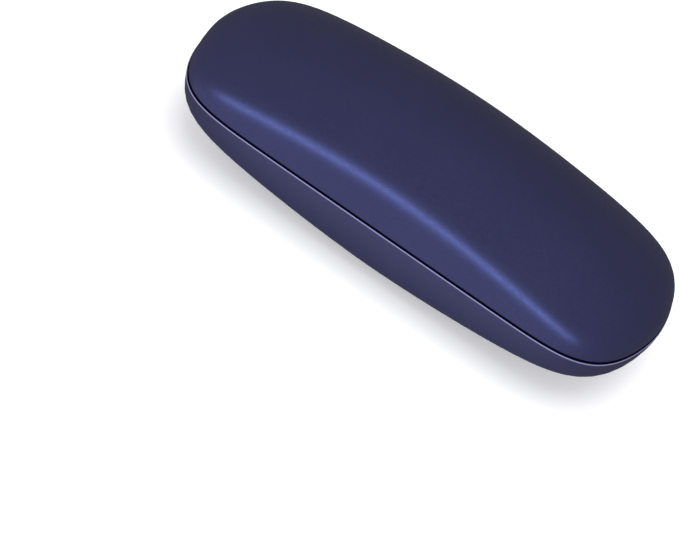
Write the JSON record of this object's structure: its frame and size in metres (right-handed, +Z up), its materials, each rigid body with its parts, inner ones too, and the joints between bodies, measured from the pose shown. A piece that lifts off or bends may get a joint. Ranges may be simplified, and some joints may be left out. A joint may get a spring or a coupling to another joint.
{
  "type": "eyeglasses case",
  "caption": "Hard clamshell eyeglasses case, leatherette over steel half shells, moulded lining, lid on a riveted snap hinge at the back.",
  "frame": {"origin": "middle of the flat patch the closed case rests on", "axes": "+X along the length, -Y out of the opening side, +Y out of the hinge side, +Z up out of the lid"},
  "size_m": [0.16, 0.0636, 0.0453],
  "materials": {
    "leatherette": "satin, very fine grain",
    "shell_steel": "pressed sheet",
    "lining": "flocked",
    "hinge_steel": "nickel plated",
    "spring_steel": "rolled strip",
    "rivet_steel": "nickel plated"
  },
  "bodies": {
    "base": {"lower_cover": "leatherette", "lower_shell": "shell_steel", "lower_liner": "lining", "lower_hinge_leaf": "hinge_steel", "hinge_pin": "hinge_steel", "snap_spring": "spring_steel", "lower_rivets": "rivet_steel", "spring_rivets": "rivet_steel"},
    "lid": {"upper_cover": "leatherette", "upper_shell": "shell_steel", "upper_liner": "lining", "upper_hinge_leaf": "hinge_steel", "upper_rivets": "rivet_steel"}
  },
  "joints": [
    {"name": "lid_hinge", "type": "hinge", "parent": "base", "child": "lid", "pos_m": [0, 0.031, 0.02115], "axis": [-1, 0, 0], "range_deg": [0, 115], "deforming": ["snap_spring"]}
  ]
}
